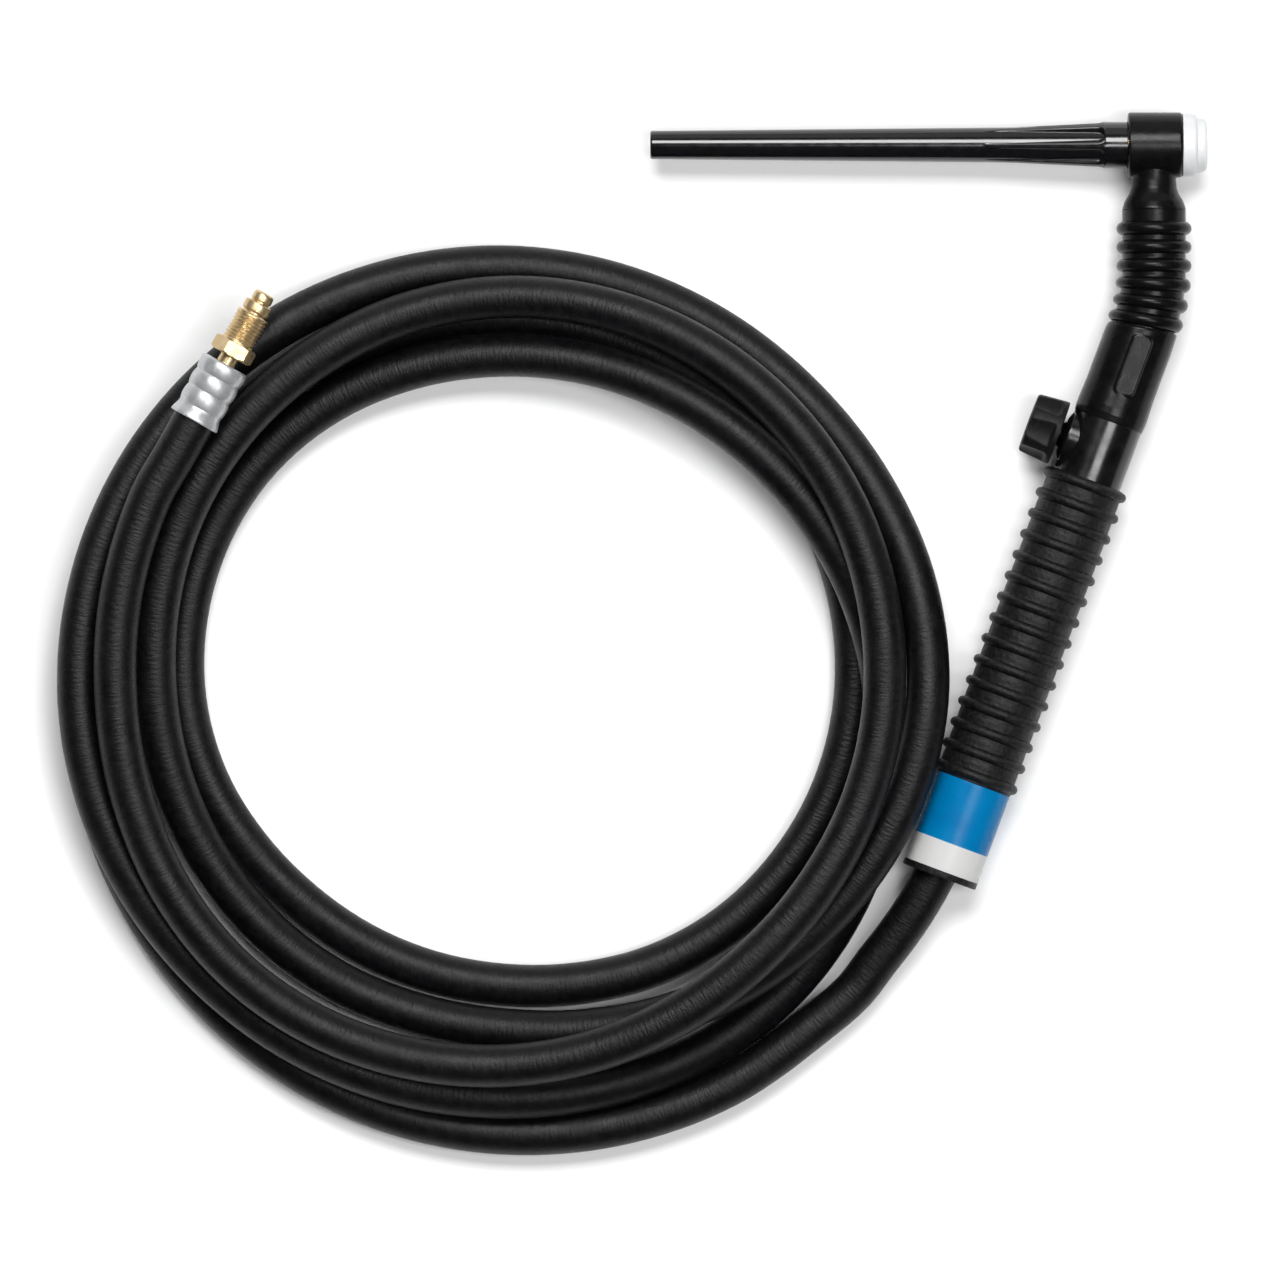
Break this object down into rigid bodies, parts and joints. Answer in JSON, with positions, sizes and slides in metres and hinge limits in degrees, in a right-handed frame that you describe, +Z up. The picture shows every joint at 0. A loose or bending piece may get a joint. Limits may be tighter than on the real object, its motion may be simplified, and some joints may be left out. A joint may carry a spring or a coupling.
{
  "type": "tig torch",
  "caption": "Gas cooled TIG torch with a bendable ribbed neck, gas valve knob, ribbed handle, long back cap and a coiled gas and power hose.",
  "frame": {"origin": "centre of the collet bore's mouth, at the front of the metal head", "axes": "+X is the way the nozzle points along the collet bore, +Z is up from the table that the torch lies on, +Y completes the frame: the handle runs from the head towards -Y"},
  "size_m": [0.3274, 0.2972, 0.0393],
  "materials": {
    "cap_plastic": "glossy moulded black plastic",
    "cover_rubber": "satin black moulded rubber",
    "gasket_white": "smooth white fluoropolymer",
    "brass": "machined brass",
    "copper": "drawn copper",
    "cover_gloss": "glossy black insulating tube",
    "knob_plastic": "satin black moulded plastic",
    "nickel": "nickel plated",
    "handle_plastic": "matte black moulded plastic, finely mottled",
    "label_film": "glossy blue and white film, bare of print",
    "seal_rubber": "smooth black seal rubber",
    "hose_rubber": "matte black hose with a fine cloth impression",
    "ferrule_metal": "bright crimped aluminium"
  },
  "bodies": {
    "handle": {"neck_sleeve": "cover_rubber", "valve_cover": "cover_gloss", "valve_block": "brass", "valve_bonnet": "nickel", "handle": "handle_plastic", "handle_label": "label_film", "torch_fitting": "brass", "torch_ferrule": "ferrule_metal", "hose_torch_end": "hose_rubber", "torch_conductor": "copper", "hose_lead": "hose_rubber", "hose_coil": "hose_rubber", "hose_power_end": "hose_rubber", "hose_ferrule": "ferrule_metal", "power_fitting": "brass", "power_conductor": "copper"},
    "neck": {"neck_tube": "copper", "flex_bellows": "cover_rubber"},
    "head": {"head_body": "brass", "head_cover": "cover_rubber", "cup_gasket": "gasket_white"},
    "cap_seal": {"back_cap_o_ring": "seal_rubber"},
    "cap": {"back_cap": "cap_plastic", "back_cap_insert": "brass"},
    "valve_seal": {"stem_o_ring": "seal_rubber"},
    "valve": {"valve_stem": "brass", "valve_knob": "knob_plastic"}
  },
  "joints": [
    {"name": "neck_bend", "type": "hinge", "parent": "handle", "child": "neck", "pos_m": [-0.01445, -0.046, 0], "axis": [0, 0, 1], "range_deg": [-50, 10], "deforming": ["flex_bellows", "neck_tube"]},
    {"name": "neck_tilt", "type": "hinge", "parent": "neck", "child": "head", "pos_m": [-0.01315, -0.0271, 0], "axis": [1, 0, 0], "range_deg": [0, 30], "deforming": ["flex_bellows", "neck_tube"]},
    {"name": "back_cap_travel", "type": "slide", "parent": "head", "child": "cap_seal", "axis": [-1, 0, 0], "range_m": [0, 0.00375]},
    {"name": "back_cap_turn", "type": "hinge", "parent": "cap_seal", "child": "cap", "pos_m": [-0.03, 0, 0], "axis": [-1, 0, 0], "range_deg": [0, 1080]},
    {"name": "valve_stem_travel", "type": "slide", "parent": "handle", "child": "valve_seal", "axis": [-0.9373, 0.3486, 0], "range_m": [0, 0.0016]},
    {"name": "valve_turn", "type": "hinge", "parent": "valve_seal", "child": "valve", "pos_m": [-0.02904, -0.08654, 0], "axis": [-0.9373, 0.3486, 0], "range_deg": [0, 720]}
  ],
  "couplings": [
    {"joint": "back_cap_turn", "follows": "back_cap_travel", "rad_per_m": 5026.5},
    {"joint": "valve_turn", "follows": "valve_stem_travel", "rad_per_m": 7854}
  ]
}
